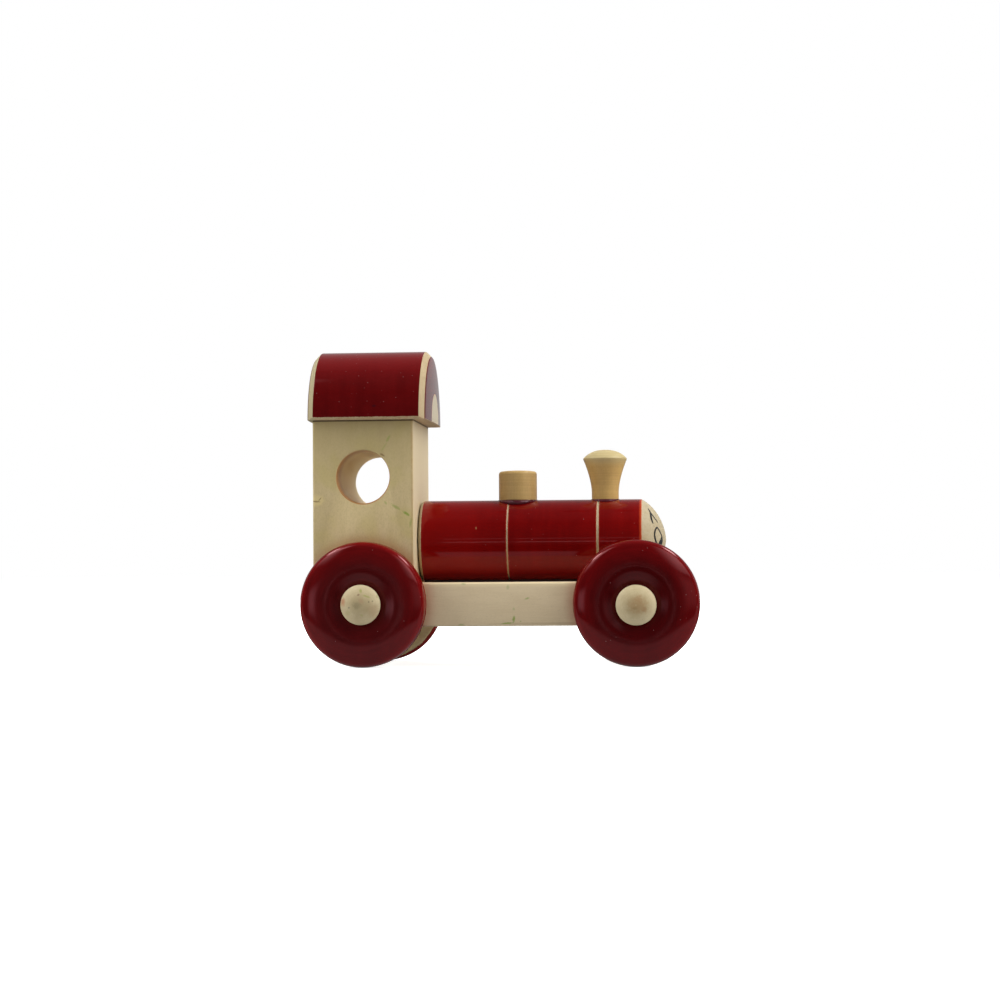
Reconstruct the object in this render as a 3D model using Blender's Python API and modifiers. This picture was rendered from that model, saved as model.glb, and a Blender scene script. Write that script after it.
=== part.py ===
"""Wooden toy train locomotive, turned and lacquered, on four wheels that spin on mushroom-headed pegs.

Frame: metres, +X to the front of the locomotive, +Y to its left side, +Z up.
The origin is on the ground, under the middle of the wheelbase.
Right-hand pieces lie at -Y and left-hand pieces at +Y.
"""

import math

import bmesh
import bpy
from mathutils import Matrix, Vector

MM = 0.001

# ---------------------------------------------------------------- driving dimensions, in metres
GAP = 0.3 * MM                      # between two pieces that touch

WHEEL_RADIUS = 25.0 * MM
WHEELBASE = 108.4 * MM
WHEEL_INNER_FACE = 27.0 * MM        # from the centre plane to a wheel's inner face
WHEEL_RIM_HEIGHT = 5.9 * MM         # inner face to the widest circle of the tread
WHEEL_INNER_RADIUS = 23.9 * MM      # flat bare disc on the inner face
SHOULDER_RADIUS = 3.5 * MM          # rounding from the tread into the outer face
SHOULDER_END = math.radians(62)     # where the shoulder hands over to the ring-shaped face
CREST_RADIUS = 14.3 * MM            # highest ring of the face, which dips again towards the hub
HUB_RADIUS = 8.1 * MM               # flat seat round the bore
WHEEL_PLAY = 0.9 * MM               # wheel's bore round its peg, so that the wheel runs loosely

PEG_RADIUS = 4.5 * MM
PEG_HEAD_RADIUS = 8.05 * MM
PEG_HEAD_EDGE = 1.1 * MM            # head's underside to its widest circle
PEG_HEAD_HEIGHT = 3.6 * MM
PEG_REACH = 8.0 * MM                # from the centre plane to the peg's blind end
PEG_DROPS = {"front_right": 0.6 * MM}   # pegs that sit a little below their wheel's centre

BODY_WIDTH = 51.6 * MM              # the chassis plank and the cab are cut from the same stock
PLANK_REAR = -75.2 * MM
PLANK_FRONT = 66.0 * MM
PLANK_BOTTOM = 16.0 * MM
PLANK_TOP = 33.5 * MM

CAB_LENGTH = 40.8 * MM
CAB_TOP = 98.6 * MM
WINDOW_RADIUS = 10.65 * MM
WINDOW_HEIGHT = 75.8 * MM
EDGE_ROUNDING = 0.8 * MM

ROOF_RADIUS = 29.4 * MM
ROOF_REAR = -77.0 * MM
ROOF_FRONT = -29.4 * MM
ROOF_CHAMFER = 2.4 * MM
ROOF_END_BULGE = 1.1 * MM           # each end face is slightly domed
ROOF_LOWER_CHAMFER = 1.0 * MM       # along the two long edges of the flat underside

BOILER_RADIUS = 16.5 * MM
BOILER_REAR_GAP = 0.5 * MM          # boiler's rear end to the cab
BOILER_REAR_CHAMFER = 0.8 * MM
BOILER_SHOULDER = 56.05 * MM        # where the cylinder turns into the domed nose
NOSE_LENGTH = 9.9 * MM
RING_PLACES = (2.1 * MM, 38.55 * MM)
RING_WIDTH = 1.0 * MM
RING_DEPTH = 0.3 * MM

STEAM_DOME_PLACE = 5.5 * MM
STEAM_DOME_RADIUS = 7.8 * MM
STEAM_DOME_TOP = 79.0 * MM
STEAM_DOME_CROWN = 0.5 * MM
STEAM_DOME_EDGE = 1.0 * MM

FUNNEL_PLACE = 41.3 * MM
FUNNEL_NECK_RADIUS = 5.5 * MM
FUNNEL_NECK_TOP = 69.5 * MM
FUNNEL_LIP_RADIUS = 9.0 * MM
FUNNEL_LIP = 83.4 * MM
FUNNEL_TOP = 87.3 * MM
FUNNEL_WAIST = (5.6 * MM, 75.3 * MM)  # control point of the flare, radius and height

TENON_RADIUS = 4.0 * MM
TENON_LENGTH = 10.0 * MM
DOWEL_RADIUS = 4.0 * MM
SMALL_DOWEL_RADIUS = 3.0 * MM
DOWEL_DEPTH = 9.0 * MM              # how deep a dowel goes into each of its two pieces
CAB_DOWEL_SPACING = 20.0 * MM
BOILER_DOWEL_PLACES = {"rear": -12.0 * MM, "front": 26.0 * MM}

LARGE_STEPS = 56
WHEEL_STEPS = 48
SMALL_STEPS = 24

# ---------------------------------------------------------------- dimensions that follow
AXLE_HEIGHT = WHEEL_RADIUS
AXLE_PLACES = {"rear": -WHEELBASE / 2, "front": WHEELBASE / 2}
SIDES = {"right": -1, "left": 1}

CAB_REAR = PLANK_REAR
CAB_FRONT = CAB_REAR + CAB_LENGTH
CAB_MIDDLE = (CAB_REAR + CAB_FRONT) / 2
CAB_BOTTOM = PLANK_TOP + GAP
CAB_DOWEL_PLACES = {
    "rear": CAB_MIDDLE - CAB_DOWEL_SPACING / 2,
    "front": CAB_MIDDLE + CAB_DOWEL_SPACING / 2,
}

ROOF_BASE = CAB_TOP + GAP
BOILER_AXIS = PLANK_TOP + GAP + BOILER_RADIUS
BOILER_TOP = BOILER_AXIS + BOILER_RADIUS
BOILER_REAR = CAB_FRONT + BOILER_REAR_GAP
SEAT_HEIGHT = BOILER_TOP + GAP      # underside of the funnel and of the steam dome

# The wheel's face is one arc across its crest, which meets the shoulder without a crease.
FACE_TILT = math.pi / 2 - SHOULDER_END
SHOULDER_TOP = (WHEEL_RADIUS - SHOULDER_RADIUS * (1 - math.cos(SHOULDER_END)),
                WHEEL_RIM_HEIGHT + SHOULDER_RADIUS * math.sin(SHOULDER_END))
FACE_RADIUS = (SHOULDER_TOP[0] - CREST_RADIUS) / math.sin(FACE_TILT)
FACE_CENTRE = (CREST_RADIUS, SHOULDER_TOP[1] - FACE_RADIUS * math.cos(FACE_TILT))
HUB_TILT = math.asin((CREST_RADIUS - HUB_RADIUS) / FACE_RADIUS)
HUB_HEIGHT = FACE_CENTRE[1] + FACE_RADIUS * math.cos(HUB_TILT)
PEG_HEAD_FACE = WHEEL_INNER_FACE + HUB_HEIGHT + GAP   # underside of a peg's head

ALONG_X = (0.0, math.pi / 2, 0.0)   # turns a piece's own +Z to the front
UPRIGHT = (0.0, 0.0, 0.0)


# ---------------------------------------------------------------- scene helpers
def clear_scene():
    for old in list(bpy.data.objects):
        bpy.data.objects.remove(old, do_unlink=True)


def new_collection(name):
    collection = bpy.data.collections.new(name)
    bpy.context.scene.collection.children.link(collection)
    return collection


def new_material(name, colour, roughness, metallic=0.0):
    material = bpy.data.materials.new(name)
    material.use_nodes = True
    shader = material.node_tree.nodes["Principled BSDF"]
    shader.inputs["Base Color"].default_value = (*colour, 1.0)
    shader.inputs["Roughness"].default_value = roughness
    shader.inputs["Metallic"].default_value = metallic
    return material


def add_object(name, mesh, collection, location=(0.0, 0.0, 0.0), rotation=UPRIGHT, material=None):
    piece = bpy.data.objects.new(name, mesh)
    piece.location = location
    piece.rotation_euler = rotation
    collection.objects.link(piece)
    if material and not mesh.materials:
        mesh.materials.append(material)
    return piece


# ---------------------------------------------------------------- outlines of turned pieces
def arc(centre, radius, start, end, count):
    """Points on an arc in the profile plane, as (distance from the axis, height)."""
    points = []
    for index in range(count + 1):
        angle = start + (end - start) * index / count
        points.append((centre[0] + radius * math.cos(angle), centre[1] + radius * math.sin(angle)))
    return points


def cap_arc(base_radius, base_height, rise, count):
    """A shallow dome over a circle, from its top on the axis down to that circle."""
    radius = (base_radius ** 2 + rise ** 2) / (2 * rise)
    half_angle = math.asin(base_radius / radius)
    centre = (0.0, base_height + rise - radius)
    points = arc(centre, radius, math.pi / 2, math.pi / 2 - half_angle, count)
    points[0] = (0.0, base_height + rise)
    return points


def quadratic_curve(start, control, end, count):
    points = []
    for index in range(count + 1):
        t = index / count
        weights = ((1 - t) ** 2, 2 * t * (1 - t), t ** 2)
        points.append(tuple(
            weights[0] * a + weights[1] * b + weights[2] * c
            for a, b, c in zip(start, control, end)
        ))
    return points


def turned_mesh(name, profile, closed=False):
    """A profile in the XZ plane, listed down its outer side from the top, for a Screw modifier."""
    shape = bmesh.new()
    vertices = [shape.verts.new((radius, 0.0, height)) for radius, height in profile]
    for first, second in zip(vertices, vertices[1:]):
        shape.edges.new((first, second))
    if closed:
        shape.edges.new((vertices[-1], vertices[0]))
    mesh = bpy.data.meshes.new(name)
    shape.to_mesh(mesh)
    shape.free()
    return mesh


def spin(piece, steps):
    turn = piece.modifiers.new("turn", "SCREW")
    turn.steps = steps
    turn.render_steps = steps
    turn.use_merge_vertices = True
    turn.merge_threshold = 0.00001
    turn.use_smooth_shade = True


# ---------------------------------------------------------------- blocks and cuts
def block_mesh(name, low, high):
    """A box between two corners, with its mesh origin at the box's middle."""
    size = Vector(high) - Vector(low)
    shape = bmesh.new()
    bmesh.ops.create_cube(shape, size=1.0, matrix=Matrix.Diagonal((*size, 1.0)))
    mesh = bpy.data.meshes.new(name)
    shape.to_mesh(mesh)
    shape.free()
    return mesh, (Vector(low) + Vector(high)) / 2


def round_edges(piece, width):
    bevel = piece.modifiers.new("eased edges", "BEVEL")
    bevel.width = width
    bevel.segments = 2
    bevel.limit_method = "ANGLE"


def add_cut(piece, cutter):
    cutter.hide_render = True
    cutter.display_type = "WIRE"
    cut = piece.modifiers.new(cutter.name, "BOOLEAN")
    cut.operation = "DIFFERENCE"
    cut.solver = "EXACT"
    cut.object = cutter


def drill(piece, name, centre, rotation, radius, length, steps=SMALL_STEPS):
    """Cuts a round hole whose axis is the cutter's own Z after the rotation."""
    shape = bmesh.new()
    bmesh.ops.create_cone(
        shape, cap_ends=True, segments=steps, radius1=radius, radius2=radius, depth=length
    )
    mesh = bpy.data.meshes.new(name)
    shape.to_mesh(mesh)
    shape.free()
    add_cut(piece, add_object(name, mesh, cutters, centre, rotation))


def cut_block(piece, name, low, high, roll=0.0):
    mesh, middle = block_mesh(name, low, high)
    add_cut(piece, add_object(name, mesh, cutters, middle, (roll, 0.0, 0.0)))


# ---------------------------------------------------------------- dowels between fixed pieces
def add_dowel(name, joint_centre, rotation, radius, gap_there):
    """A dowel across a joint, with eased ends, and the centre and length of the hole it needs."""
    half = DOWEL_DEPTH + gap_there / 2
    ease = 0.5 * MM
    profile = [
        (0.0, half), (radius - ease, half), (radius, half - ease),
        (radius, ease - half), (radius - ease, -half), (0.0, -half),
    ]
    dowel = add_object(name, turned_mesh(name, profile), locomotive, joint_centre, rotation, dowel_wood)
    spin(dowel, SMALL_STEPS)


def dowel_hole(piece, name, joint_centre, rotation, radius, gap_there):
    length = 2 * (DOWEL_DEPTH + GAP) + gap_there
    drill(piece, name, joint_centre, rotation, radius + GAP, length)


# ---------------------------------------------------------------- pieces
def add_chassis_plank():
    mesh, middle = block_mesh(
        "chassis_plank",
        (PLANK_REAR, -BODY_WIDTH / 2, PLANK_BOTTOM),
        (PLANK_FRONT, BODY_WIDTH / 2, PLANK_TOP),
    )
    plank = add_object("chassis_plank", mesh, locomotive, middle, material=plank_wood)
    round_edges(plank, EDGE_ROUNDING)
    hole_depth = BODY_WIDTH / 2 - PEG_REACH + GAP
    for end, place in AXLE_PLACES.items():
        for side, sign in SIDES.items():
            # The hole starts outside the plank's side, by as much as it is deep.
            centre = (place, sign * BODY_WIDTH / 2, peg_height(end, side))
            drill(plank, f"peg_hole_{end}_{side}", centre, (math.pi / 2, 0.0, 0.0),
                  PEG_RADIUS + GAP, 2 * hole_depth)
    return plank


def add_cab_block():
    mesh, middle = block_mesh(
        "cab_block",
        (CAB_REAR, -BODY_WIDTH / 2, CAB_BOTTOM),
        (CAB_FRONT, BODY_WIDTH / 2, CAB_TOP),
    )
    cab = add_object("cab_block", mesh, locomotive, middle, material=cab_wood)
    round_edges(cab, EDGE_ROUNDING)
    drill(cab, "window_cut", (CAB_MIDDLE, 0.0, WINDOW_HEIGHT), (math.pi / 2, 0.0, 0.0),
          WINDOW_RADIUS, 2 * BODY_WIDTH, LARGE_STEPS)
    return cab


def add_cab_roof():
    """Half of a turned log: a full turning, split along its axis, with its long edges eased."""
    half = (ROOF_FRONT - ROOF_REAR) / 2
    end_radius = ROOF_RADIUS - ROOF_CHAMFER
    front_end = cap_arc(end_radius, half, ROOF_END_BULGE, 3)
    front_end.append((ROOF_RADIUS, half - ROOF_CHAMFER))
    rear_end = [(radius, -height) for radius, height in reversed(front_end)]
    mesh = turned_mesh("cab_roof", front_end + rear_end)
    centre = ((ROOF_REAR + ROOF_FRONT) / 2, 0.0, ROOF_BASE)
    roof = add_object("cab_roof", mesh, locomotive, centre, ALONG_X, roof_lacquer)
    spin(roof, LARGE_STEPS)

    low_x, high_x = ROOF_REAR - ROOF_RADIUS, ROOF_FRONT + ROOF_RADIUS
    cut_block(roof, "lower_half_cut",
              (low_x, -2 * ROOF_RADIUS, ROOF_BASE - 2 * ROOF_RADIUS),
              (high_x, 2 * ROOF_RADIUS, ROOF_BASE))
    reach = ROOF_LOWER_CHAMFER / math.sqrt(2)
    for side, sign in SIDES.items():
        edge = sign * ROOF_RADIUS
        cut_block(roof, f"long_edge_cut_{side}",
                  (low_x, edge - reach, ROOF_BASE - reach),
                  (high_x, edge + reach, ROOF_BASE + reach), math.pi / 4)
    return roof


def boiler_profile():
    """From the tip of the nose back along the barrel to the middle of the rear end."""
    profile = cap_arc(BOILER_RADIUS, BOILER_SHOULDER, NOSE_LENGTH, 7)
    for place in reversed(RING_PLACES):
        profile += [
            (BOILER_RADIUS, place + RING_WIDTH / 2),
            (BOILER_RADIUS - RING_DEPTH, place),
            (BOILER_RADIUS, place - RING_WIDTH / 2),
        ]
    profile += [
        (BOILER_RADIUS, BOILER_REAR + BOILER_REAR_CHAMFER),
        (BOILER_RADIUS - BOILER_REAR_CHAMFER, BOILER_REAR),
        (0.0, BOILER_REAR),
    ]
    return profile


def add_boiler():
    mesh = turned_mesh("boiler", boiler_profile())
    boiler = add_object("boiler", mesh, locomotive, (0.0, 0.0, BOILER_AXIS), ALONG_X, boiler_lacquer)
    spin(boiler, LARGE_STEPS)
    for name, place in (("steam_dome", STEAM_DOME_PLACE), ("funnel", FUNNEL_PLACE)):
        # The hole is as long above the barrel as below it, so it opens cleanly.
        drill(boiler, f"{name}_hole", (place, 0.0, BOILER_TOP), UPRIGHT,
              TENON_RADIUS + GAP, 2 * (TENON_LENGTH + GAP))
    return boiler


def tenon_profile():
    """The underside of a piece that stands on the barrel, and its tenon, below the seat."""
    return [(TENON_RADIUS, SEAT_HEIGHT), (TENON_RADIUS, SEAT_HEIGHT - TENON_LENGTH),
            (0.0, SEAT_HEIGHT - TENON_LENGTH)]


def add_steam_dome():
    edge_centre = (STEAM_DOME_RADIUS - STEAM_DOME_EDGE,
                   STEAM_DOME_TOP - STEAM_DOME_CROWN - STEAM_DOME_EDGE)
    profile = [(0.0, STEAM_DOME_TOP)]
    profile += arc(edge_centre, STEAM_DOME_EDGE, math.pi / 2, 0.0, 3)
    profile.append((STEAM_DOME_RADIUS, SEAT_HEIGHT))
    profile += tenon_profile()
    mesh = turned_mesh("steam_dome", profile)
    dome = add_object("steam_dome", mesh, locomotive, (STEAM_DOME_PLACE, 0.0, 0.0), material=dome_wood)
    spin(dome, SMALL_STEPS)


def add_funnel():
    profile = cap_arc(FUNNEL_LIP_RADIUS, FUNNEL_LIP, FUNNEL_TOP - FUNNEL_LIP, 5)
    flare = quadratic_curve(
        (FUNNEL_LIP_RADIUS, FUNNEL_LIP), FUNNEL_WAIST, (FUNNEL_NECK_RADIUS, FUNNEL_NECK_TOP), 7
    )
    profile += flare[1:]
    profile.append((FUNNEL_NECK_RADIUS, SEAT_HEIGHT))
    profile += tenon_profile()
    mesh = turned_mesh("funnel", profile)
    funnel = add_object("funnel", mesh, locomotive, (FUNNEL_PLACE, 0.0, 0.0), material=funnel_wood)
    spin(funnel, SMALL_STEPS)


def wheel_profile():
    """Height is measured outwards from the wheel's inner face."""
    bore = PEG_RADIUS + WHEEL_PLAY
    face = arc(FACE_CENTRE, FACE_RADIUS, math.pi / 2 + HUB_TILT, math.pi / 2 - FACE_TILT, 6)
    shoulder = arc((WHEEL_RADIUS - SHOULDER_RADIUS, WHEEL_RIM_HEIGHT), SHOULDER_RADIUS, SHOULDER_END, 0.0, 5)
    profile = [(bore, HUB_HEIGHT)] + face + shoulder[1:]
    profile += [(WHEEL_RADIUS, WHEEL_RIM_HEIGHT / 2), (WHEEL_INNER_RADIUS, 0.0), (bore, 0.0)]
    return profile


def peg_profile():
    """Height is measured outwards from the head's underside."""
    ease = 0.6 * MM
    profile = cap_arc(PEG_HEAD_RADIUS, PEG_HEAD_EDGE, PEG_HEAD_HEIGHT - PEG_HEAD_EDGE, 4)
    blind_end = PEG_REACH - PEG_HEAD_FACE
    profile += [
        (PEG_HEAD_RADIUS - ease, 0.0), (PEG_RADIUS, 0.0), (PEG_RADIUS, blind_end + ease),
        (PEG_RADIUS - ease, blind_end), (0.0, blind_end),
    ]
    return profile


def peg_height(end, side):
    return AXLE_HEIGHT - PEG_DROPS.get(f"{end}_{side}", 0.0)


def add_wheels_and_pegs():
    wheel_mesh = turned_mesh("wheel", wheel_profile(), closed=True)
    peg_mesh = turned_mesh("peg", peg_profile())
    for end, place in AXLE_PLACES.items():
        for side, sign in SIDES.items():
            outwards = (-sign * math.pi / 2, 0.0, 0.0)
            wheel = add_object(f"wheel_{end}_{side}", wheel_mesh, locomotive,
                               (place, sign * WHEEL_INNER_FACE, AXLE_HEIGHT), outwards, wheel_lacquer)
            spin(wheel, WHEEL_STEPS)
            peg = add_object(f"peg_{end}_{side}", peg_mesh, locomotive,
                             (place, sign * PEG_HEAD_FACE, peg_height(end, side)), outwards, peg_wood)
            spin(peg, SMALL_STEPS)


def add_dowels(plank, cab, roof, boiler):
    """Each dowel stands across one joint and is let into both pieces."""
    joints = []
    for end, place in CAB_DOWEL_PLACES.items():
        joints.append((f"cab_dowel_{end}", (place, 0.0, PLANK_TOP + GAP / 2), UPRIGHT,
                       DOWEL_RADIUS, GAP, (plank, cab)))
        joints.append((f"roof_dowel_{end}", (place, 0.0, CAB_TOP + GAP / 2), UPRIGHT,
                       DOWEL_RADIUS, GAP, (cab, roof)))
    for end, place in BOILER_DOWEL_PLACES.items():
        joints.append((f"boiler_dowel_{end}", (place, 0.0, PLANK_TOP + GAP / 2), UPRIGHT,
                       SMALL_DOWEL_RADIUS, GAP, (plank, boiler)))
    joints.append(("boiler_cab_dowel", (CAB_FRONT + BOILER_REAR_GAP / 2, 0.0, BOILER_AXIS), ALONG_X,
                   DOWEL_RADIUS, BOILER_REAR_GAP, (cab, boiler)))
    for name, centre, rotation, radius, gap_there, pieces in joints:
        add_dowel(name, centre, rotation, radius, gap_there)
        for piece in pieces:
            dowel_hole(piece, f"{name}_hole_in_{piece.name}", centre, rotation, radius, gap_there)


# ---------------------------------------------------------------- the locomotive
clear_scene()
locomotive = new_collection("toy_train_locomotive")
cutters = new_collection("cutters")

plank_wood = new_material("plank_wood", (0.56, 0.46, 0.31), 0.5)
cab_wood = new_material("cab_wood", (0.52, 0.42, 0.24), 0.5)
dome_wood = new_material("dome_wood", (0.50, 0.36, 0.17), 0.45)
funnel_wood = new_material("funnel_wood", (0.52, 0.38, 0.18), 0.45)
peg_wood = new_material("peg_wood", (0.58, 0.48, 0.30), 0.45)
dowel_wood = new_material("dowel_wood", (0.60, 0.47, 0.29), 0.6)
boiler_lacquer = new_material("boiler_lacquer", (0.21, 0.006, 0.006), 0.12)
roof_lacquer = new_material("roof_lacquer", (0.17, 0.006, 0.009), 0.12)
wheel_lacquer = new_material("wheel_lacquer", (0.14, 0.006, 0.009), 0.12)

chassis_plank = add_chassis_plank()
cab_block = add_cab_block()
cab_roof = add_cab_roof()
barrel = add_boiler()
add_steam_dome()
add_funnel()
add_wheels_and_pegs()
add_dowels(chassis_plank, cab_block, cab_roof, barrel)
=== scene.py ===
"""Looks for the wooden toy train locomotive: turned and lacquered pieces, bare wood, studio and camera.

Metres throughout. +X is the front of the locomotive, +Y its left side and +Z up.
"""

import math

import bmesh
import bpy
from mathutils import Matrix, Vector


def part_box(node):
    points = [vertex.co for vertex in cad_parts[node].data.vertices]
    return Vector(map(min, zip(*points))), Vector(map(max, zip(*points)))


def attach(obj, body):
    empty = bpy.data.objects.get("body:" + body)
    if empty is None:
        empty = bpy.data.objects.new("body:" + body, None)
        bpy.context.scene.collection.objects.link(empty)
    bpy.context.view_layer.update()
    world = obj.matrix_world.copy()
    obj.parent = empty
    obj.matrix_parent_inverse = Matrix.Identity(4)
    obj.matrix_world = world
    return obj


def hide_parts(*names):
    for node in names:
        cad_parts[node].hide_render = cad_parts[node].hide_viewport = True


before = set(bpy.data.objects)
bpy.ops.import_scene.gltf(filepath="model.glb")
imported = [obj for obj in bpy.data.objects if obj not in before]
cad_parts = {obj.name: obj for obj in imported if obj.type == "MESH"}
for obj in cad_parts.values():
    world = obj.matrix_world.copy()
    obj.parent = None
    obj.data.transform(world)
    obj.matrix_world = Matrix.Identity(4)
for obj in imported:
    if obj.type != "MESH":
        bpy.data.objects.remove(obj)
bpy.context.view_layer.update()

MM = 0.001
BODY = "locomotive"

# ---------------------------------------------------------------- details finer than the CAD model
BARREL_STEPS = 224
WHEEL_STEPS = 176
TURNING_STEPS = 112

BARREL_SHOULDER_FROM_TIP = 9.9 * MM       # the nose: tip to the edge of the lacquer
BARREL_CHAMFER = 0.8 * MM
RINGS = ((2.1 * MM, 0.65 * MM), (38.55 * MM, 0.95 * MM))   # place and width of the two bare grooves
RING_DEPTH = 0.3 * MM

ROOF_CHAMFER = 2.4 * MM
ROOF_END_BULGE = 1.1 * MM
ROOF_FOOT = 1.0 * MM                      # chamfer along the long edges of the underside
ROOF_BARE_PATCH = 12.0 * MM               # radius of the bare half disc on each end

WINDOW_RADIUS = 10.65 * MM
WINDOW_HEIGHT = 75.8 * MM
WINDOW_TILT = -0.010                      # the bore is not quite level

NOSE_FLATTENING = 0.35 * MM                # how far the nose stays inside a plain dome, half way out
FUNNEL_LIP_DROP = 3.9 * MM                # top of the funnel to its widest circle
FUNNEL_NECK_RADIUS = 5.5 * MM
FUNNEL_NECK_TOP = 69.5 * MM
FUNNEL_WAIST = (5.6 * MM, 75.3 * MM)      # control point of the flare
FUNNEL_CAP_POWERS = (2.5, 0.9)            # how the cap falls from its top to the lip
SEAT_BEAD = 0.4 * MM                      # thickness of the bead of lacquer where a turned piece is seated
SEAT_BEAD_GROWTH = 0.28                   # how much thicker it is for each mm that the barrel drops away

WHEEL_RIM_HEIGHT = 5.9 * MM
WHEEL_SHOULDER = 3.5 * MM
WHEEL_SHOULDER_END = math.radians(62)
WHEEL_CREST_RADIUS = 15.0 * MM            # highest ring of the face
# How the face falls away, in degrees: outwards where positive, in towards the hub where negative.
WHEEL_FACE_SLOPES = (
    (8.1 * MM, -10), (9.4 * MM, -21), (12.3 * MM, -20), (WHEEL_CREST_RADIUS, 0), (23.15 * MM, 28),
)
WHEEL_INNER_RADIUS = 23.5 * MM
WHEEL_BORE = 5.4 * MM

PEG_HEAD_EDGE = 1.1 * MM
PEG_HEAD_HEIGHT = 3.6 * MM
PEG_RADIUS = 4.5 * MM

# The face on the nose, seen from the front: mm out from the middle and mm above the barrel's axis, on each side.
BROW = ((7.7, 12.5), (8.6, 10.6), (8.5, 9.1), (7.6, 6.7))
BROW_BRANCH = ((8.4, 11.1), (10.4, 8.6), (11.1, 6.2))
EYE = ((9.6, 4.7), (11.2, 3.4), (11.85, 1.6), (11.65, 0.0), (10.9, -1.5), (9.2, -2.8), (7.4, -2.2),
       (6.6, -0.9), (6.75, 0.5), (7.4, 1.9), (8.4, 3.4))
PUPIL_EDGES = (((7.4, 1.0), (8.7, -0.4), (9.7, -1.9), (9.2, -2.6)),
               ((7.2, 1.1), (6.7, -0.2), (6.75, -1.2), (8.0, -2.5)))
STROKE_WIDTH = 0.75 * MM
INK_THICKNESS = 0.05 * MM


# ---------------------------------------------------------------- sizes taken from the CAD nodes
def middle(node):
    low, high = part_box(node)
    return (low + high) / 2


def size(node):
    low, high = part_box(node)
    return high - low


BARREL_RADIUS = size("boiler").y / 2
BARREL_AXIS = middle("boiler").z
BARREL_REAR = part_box("boiler")[0].x
BARREL_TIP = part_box("boiler")[1].x
BARREL_TOP = BARREL_AXIS + BARREL_RADIUS
BARREL_SHOULDER = BARREL_TIP - BARREL_SHOULDER_FROM_TIP
ROOF_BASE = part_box("cab_roof")[0].z
ROOF_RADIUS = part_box("cab_roof")[1].z - ROOF_BASE
CAB_LOW, CAB_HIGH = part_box("cab_block")
CAB_CENTRE = (CAB_LOW.x + CAB_HIGH.x) / 2
PLANK_LOW, PLANK_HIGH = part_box("chassis_plank")
WHEEL_RADIUS = size("wheel_front_right").x / 2
WHEEL_INNER_FACE = -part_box("wheel_front_right")[1].y


# ---------------------------------------------------------------- outlines: (distance from axis, height)
def arc(centre, radius, start, end, count):
    points = []
    for index in range(count + 1):
        angle = start + (end - start) * index / count
        points.append((centre[0] + radius * math.cos(angle), centre[1] + radius * math.sin(angle)))
    return points


def cap_arc(base_radius, base_height, rise, count):
    """A shallow dome over a circle, from its top on the axis down to that circle."""
    radius = (base_radius ** 2 + rise ** 2) / (2 * rise)
    half_angle = math.asin(base_radius / radius)
    points = arc((0.0, base_height + rise - radius), radius, math.pi / 2, math.pi / 2 - half_angle, count)
    points[0] = (0.0, base_height + rise)
    return points


def curve(start, control, end, count):
    """A quadratic curve without its first point."""
    points = []
    for index in range(1, count + 1):
        t = index / count
        weights = ((1 - t) ** 2, 2 * t * (1 - t), t ** 2)
        points.append(tuple(
            weights[0] * a + weights[1] * b + weights[2] * c for a, b, c in zip(start, control, end)
        ))
    return points


def through(points, count, closed=False):
    """A smooth curve through the points."""
    result = []
    last = len(points) if closed else len(points) - 1
    for index in range(last):
        if closed:
            before, start, end, after = (Vector(points[(index + step) % len(points)]) for step in (-1, 0, 1, 2))
        else:
            start, end = Vector(points[index]), Vector(points[index + 1])
            before = Vector(points[index - 1]) if index else start * 2 - end
            after = Vector(points[index + 2]) if index + 2 < len(points) else end * 2 - start
        for step in range(count):
            t = step / count
            result.append(0.5 * (
                2 * start + (end - before) * t + (2 * before - 5 * start + 4 * end - after) * t ** 2
                + (3 * start - before - 3 * end + after) * t ** 3
            ))
    return result if closed else result + [Vector(points[-1])]


def between(stops, value):
    """Straight lines through the (place, level) stops."""
    for (start, first), (end, second) in zip(stops, stops[1:]):
        if value <= end:
            return first + (second - first) * max(0.0, (value - start) / (end - start))
    return stops[-1][1]


def ease(points, easing, count=4):
    """Rounds the corners of an outline. easing gives, for some corners by index, how far the rounding reaches."""
    result = []
    for index, point in enumerate(points):
        reach = easing.get(index)
        if not reach:
            result.append(tuple(point))
            continue
        here = Vector(point)
        before, after = Vector(points[index - 1]) - here, Vector(points[index + 1]) - here
        start = here + before.normalized() * min(reach, before.length / 2)
        end = here + after.normalized() * min(reach, after.length / 2)
        result += [tuple(start), *curve(start, here, end, count)]
    return result


# ---------------------------------------------------------------- meshes
def as_mesh(shape, name, smooth=False):
    mesh = bpy.data.meshes.new(name)
    shape.to_mesh(mesh)
    shape.free()
    mesh.polygons.foreach_set("use_smooth", [smooth] * len(mesh.polygons))
    return mesh


def finished(shape, name, crease=math.radians(35)):
    """Turns a bmesh into a smooth-shaded mesh whose edges above the crease angle stay sharp."""
    bmesh.ops.remove_doubles(shape, verts=shape.verts, dist=1e-7)
    bmesh.ops.recalc_face_normals(shape, faces=shape.faces)
    mesh = as_mesh(shape, name, smooth=True)
    mesh.set_sharp_from_angle(angle=crease)
    return mesh


def skin(shape, rows, closed=False):
    """Faces between each row of vertices and the next. The rows of a closed skin run round into themselves."""
    for first, second in zip(rows, rows[1:]):
        count = len(first)
        for index in range(count if closed else count - 1):
            after = (index + 1) % count
            shape.faces.new((first[index], second[index], second[after], first[after]))


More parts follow.
